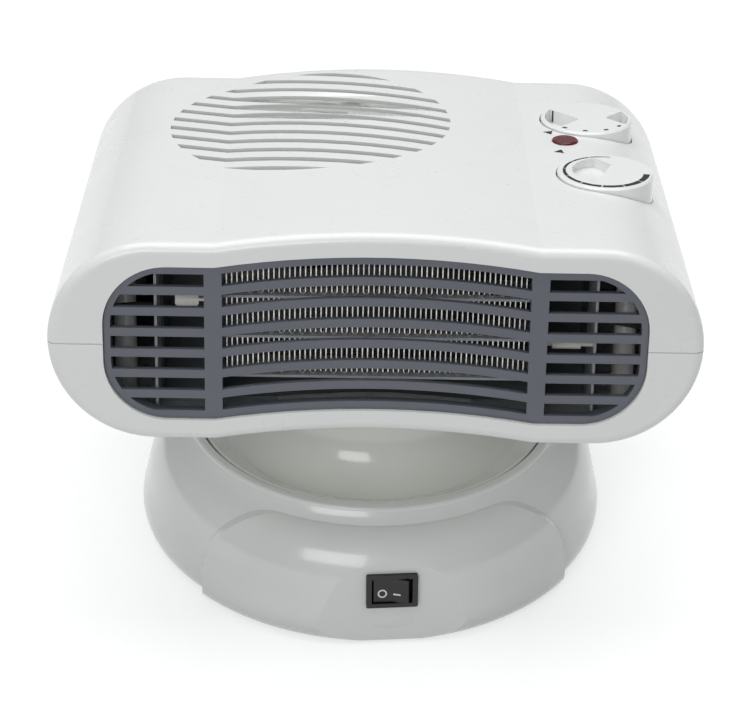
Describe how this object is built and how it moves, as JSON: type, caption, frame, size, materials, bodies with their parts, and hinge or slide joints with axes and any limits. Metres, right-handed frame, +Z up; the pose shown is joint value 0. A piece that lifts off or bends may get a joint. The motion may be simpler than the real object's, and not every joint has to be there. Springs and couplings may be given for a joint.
{
  "type": "fan heater",
  "caption": "Flat electric fan heater whose wide grilled head turns from side to side on a round domed stand, with two knobs on top and a rocker switch in front.",
  "frame": {"origin": "on the table, under the middle of the whole heater", "axes": "+X to the right of someone who faces the grille, +Y to the back, +Z up"},
  "size_m": [0.2494, 0.2112, 0.1873],
  "materials": {
    "head_white": "smooth glossy moulded off-white",
    "knob_white": "smooth glossy moulded white",
    "stand_white": "smooth glossy moulded, a little greyer than the head",
    "turntable_white": "smooth glossy moulded off-white",
    "grille_slate": "satin slate blue-grey",
    "heater_board": "pale grey mica board",
    "ribbon_steel": "bright resistance ribbon",
    "ceramic_white": "glazed ceramic",
    "guide_grey": "plain moulded grey",
    "fan_grey": "plain moulded dark grey",
    "motor_steel": "laminated and plated steel",
    "winding": "varnished copper wire",
    "bearing_bronze": "sintered bronze",
    "screw_steel": "zinc plated",
    "control_black": "moulded black",
    "spindle_nylon": "natural nylon",
    "lamp_red": "clear dark red lens",
    "bulb_glass": "clear glass",
    "lead_black": "sleeved wire",
    "switch_black": "moulded black",
    "foot_rubber": "soft rubber",
    "plate_grey": "plain moulded grey"
  },
  "bodies": {
    "stand": {"base_shell": "stand_white", "base_plate": "plate_grey", "base_screws": "screw_steel", "rubber_feet": "foot_rubber", "glide_ring": "spindle_nylon", "drive_motor": "motor_steel", "drive_screws": "screw_steel", "switch_housing": "switch_black", "terminal_block": "spindle_nylon", "cord_bush": "plate_grey"},
    "fan": {"fan_wheel": "fan_grey", "motor_rotor": "motor_steel", "shaft_clip": "screw_steel"},
    "thermostat_control": {"thermostat_knob": "knob_white", "thermostat_spindle": "spindle_nylon"},
    "selector_control": {"selector_knob": "knob_white", "selector_spindle": "spindle_nylon"},
    "pinion": {"drive_pinion": "spindle_nylon"},
    "rocker": {"switch_rocker": "switch_black"},
    "head": {"upper_housing": "head_white", "lower_housing": "head_white", "housing_screws": "screw_steel", "front_grille": "grille_slate", "heater_frame": "heater_board", "upper_ribbon": "ribbon_steel", "middle_ribbon": "ribbon_steel", "lower_ribbon": "ribbon_steel", "thermal_cutout": "ceramic_white", "thermal_fuse": "ceramic_white", "air_guide": "guide_grey", "air_guide_screws": "screw_steel", "motor_stack": "motor_steel", "motor_coil": "winding", "upper_motor_bracket": "motor_steel", "lower_motor_bracket": "motor_steel", "motor_bushes": "bearing_bronze", "motor_screws": "screw_steel", "thermostat_body": "control_black", "selector_body": "control_black", "lamp_lens": "lamp_red", "lamp_socket": "control_black", "lamp_bulb": "bulb_glass", "left_heater_lead": "lead_black", "right_heater_lead": "lead_black", "turntable": "turntable_white", "neck_screws": "screw_steel", "gear_sector": "spindle_nylon", "sector_screws": "screw_steel", "riser_cable": "lead_black"}
  },
  "joints": [
    {"name": "head_sweep", "type": "hinge", "parent": "stand", "child": "head", "pos_m": [0, 0.00089, 0], "axis": [0, 0, 1], "range_deg": [-30, 40]},
    {"name": "fan_spin", "type": "hinge", "parent": "head", "child": "fan", "pos_m": [-0.028, 0.02659, 0.12854], "axis": [0, 0.1045, 0.9945], "continuous": true},
    {"name": "thermostat_turn", "type": "hinge", "parent": "head", "child": "thermostat_control", "pos_m": [0.0914, -0.01754, 0.17551], "axis": [0, 0.1045, 0.9945], "range_deg": [-225, 49]},
    {"name": "selector_turn", "type": "hinge", "parent": "head", "child": "selector_control", "pos_m": [0.0887, 0.04561, 0.16887], "axis": [0, 0.1045, 0.9945], "range_deg": [-102, 0]},
    {"name": "pinion_turn", "type": "hinge", "parent": "stand", "child": "pinion", "pos_m": [-0.03217, 0.02788, 0], "axis": [0, 0, 1], "range_deg": [-200, 150]},
    {"name": "rocker_tilt", "type": "hinge", "parent": "stand", "child": "rocker", "pos_m": [0.00843, -0.09541, 0.025], "axis": [-0.0084, 0.0955, 0.9954], "range_deg": [0, 18]}
  ],
  "couplings": [
    {"joint": "pinion_turn", "follows": "head_sweep", "ratio": -5}
  ]
}
